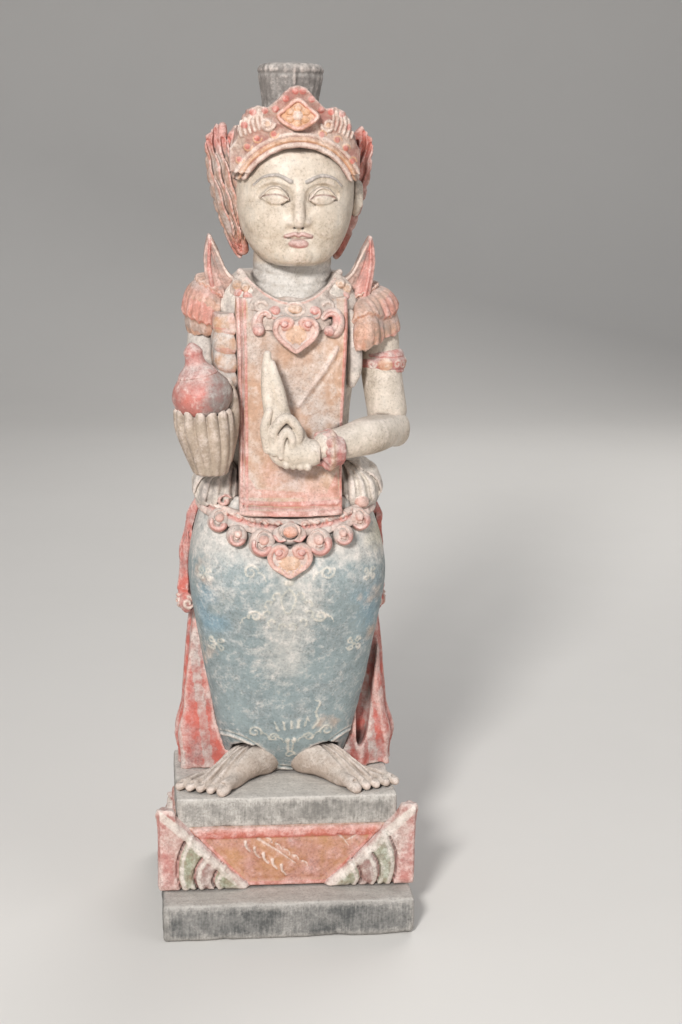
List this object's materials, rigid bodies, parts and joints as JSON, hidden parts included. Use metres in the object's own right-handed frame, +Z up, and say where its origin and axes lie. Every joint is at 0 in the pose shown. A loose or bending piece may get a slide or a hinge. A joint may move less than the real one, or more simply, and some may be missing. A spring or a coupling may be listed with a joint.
{
  "type": "carved wooden temple statue",
  "caption": "Painted wooden statue of a crowned, seated deity holding a round pot, the other hand raised, on a stepped base with a lotus tier.",
  "frame": {"origin": "middle of the underside of the plinth", "axes": "+Z up along the figure, -Y the way the figure faces, -X towards the figure's own right hand, which holds the pot"},
  "size_m": [0.124, 0.108, 0.4],
  "materials": {
    "bare_wood": "dark stained, worn and dusty",
    "red_paint": "faded coral red paint on wood, dusty",
    "gold_paint": "dull gold ochre paint on wood, worn",
    "skin_paint": "worn tan paint with grey dust",
    "blue_paint": "faded slate blue paint, dusty",
    "dusty_cloth": "beige painted cloth folds, dusty",
    "dark_hair": "black-stained hair knot, worn edges",
    "peg_wood": "plain turned dowel"
  },
  "bodies": {
    "root": {"plinth": "bare_wood", "lotus_tier": "red_paint", "corner_leaves_front_right": "red_paint", "corner_leaves_front_left": "red_paint", "corner_leaves_back_right": "red_paint", "corner_leaves_back_left": "red_paint", "stand_block": "bare_wood", "base_dowel_right": "peg_wood", "base_dowel_left": "peg_wood", "figure_dowel": "peg_wood", "foot_right": "skin_paint", "foot_left": "skin_paint", "skirt": "blue_paint", "back_drape": "red_paint", "side_sash_right": "red_paint", "side_sash_left": "red_paint", "hip_fold_right": "dusty_cloth", "hip_fold_left": "dusty_cloth", "belt": "red_paint", "belt_scroll_1_right": "red_paint", "belt_scroll_1_left": "red_paint", "belt_scroll_2_right": "red_paint", "belt_scroll_2_left": "red_paint", "belt_scroll_3_right": "red_paint", "belt_scroll_3_left": "red_paint", "belt_jewel": "gold_paint", "belt_pendant": "red_paint", "torso": "dusty_cloth", "apron_panel": "gold_paint", "vest_panel_right": "gold_paint", "vest_panel_left": "gold_paint", "collar": "dusty_cloth", "collar_scroll_right": "red_paint", "collar_scroll_left": "red_paint", "collar_pendant": "red_paint", "shoulder_wing_right": "red_paint", "shoulder_wing_left": "red_paint", "epaulette_right": "red_paint", "epaulette_left": "red_paint", "upper_arm_right": "skin_paint", "upper_arm_left": "skin_paint", "armband_right": "red_paint", "armband_left": "red_paint", "forearm_right": "skin_paint", "forearm_left": "skin_paint", "cuff_left": "red_paint", "hand_right": "skin_paint", "hand_left": "skin_paint", "pot": "red_paint", "pot_stopper": "red_paint", "head": "skin_paint", "neck_peg": "peg_wood", "ear_right": "skin_paint", "ear_left": "skin_paint", "ear_ornament_right": "red_paint", "ear_ornament_left": "red_paint", "crown": "red_paint", "crown_jewel": "gold_paint", "topknot": "dark_hair"}
  },
  "joints": []
}
